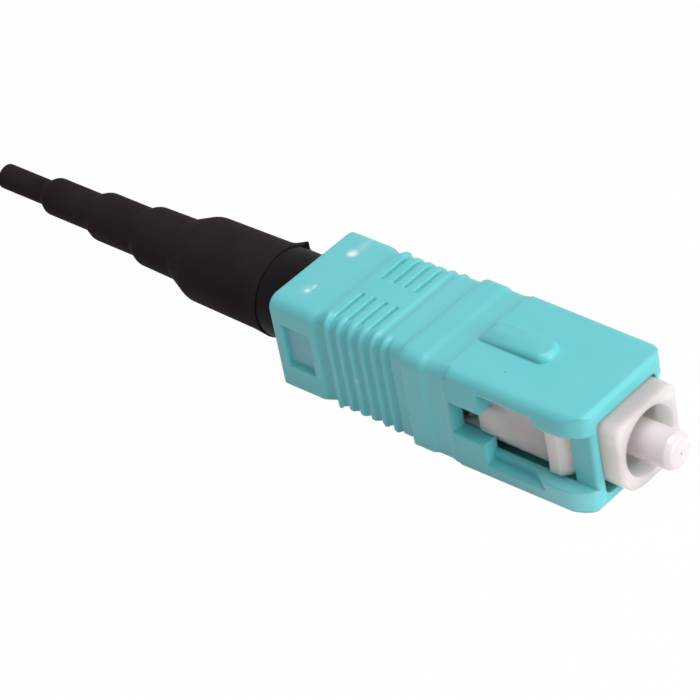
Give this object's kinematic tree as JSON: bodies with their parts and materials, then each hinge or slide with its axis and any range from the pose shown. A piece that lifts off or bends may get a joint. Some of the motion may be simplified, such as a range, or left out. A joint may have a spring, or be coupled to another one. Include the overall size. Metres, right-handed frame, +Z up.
{
  "type": "fibre optic connector",
  "caption": "Push-pull fibre connector: ribbed sliding housing with a key, white plug frame, sprung ceramic ferrule and a long stepped boot.",
  "frame": {"origin": "on the ferrule axis, in the plane of the outer housing's front face with the housing pulled back", "axes": "+X along the ferrule towards the mating end, +Z up on the key side, Y across"},
  "size_m": [0.059, 0.0092, 0.0079],
  "materials": {
    "housing_aqua": "semi-gloss moulded",
    "natural_plastic": "moulded",
    "zirconia": "ground and polished ceramic",
    "steel": "turned",
    "plated_metal": "nickel plated",
    "tube_plastic": "extruded",
    "black_plastic": "moulded",
    "black_rubber": "moulded, satin"
  },
  "bodies": {
    "plug": {"plug_frame": "natural_plastic", "stop_ring": "plated_metal", "rear_body": "black_plastic", "boot": "black_rubber", "spring": "steel"},
    "housing": {"outer_housing": "housing_aqua"},
    "ferrule_unit": {"ferrule": "zirconia", "ferrule_flange": "steel", "inner_tube": "tube_plastic"}
  },
  "joints": [
    {"name": "housing_slide", "type": "slide", "parent": "plug", "child": "housing", "axis": [1, 0, 0], "range_m": [0, 0.0015]},
    {"name": "ferrule_push", "type": "slide", "parent": "plug", "child": "ferrule_unit", "axis": [-1, 0, 0], "range_m": [0, 0.001], "stiffness_N_per_m": 2000, "springref_m": -0.004, "deforming": ["spring"]}
  ]
}
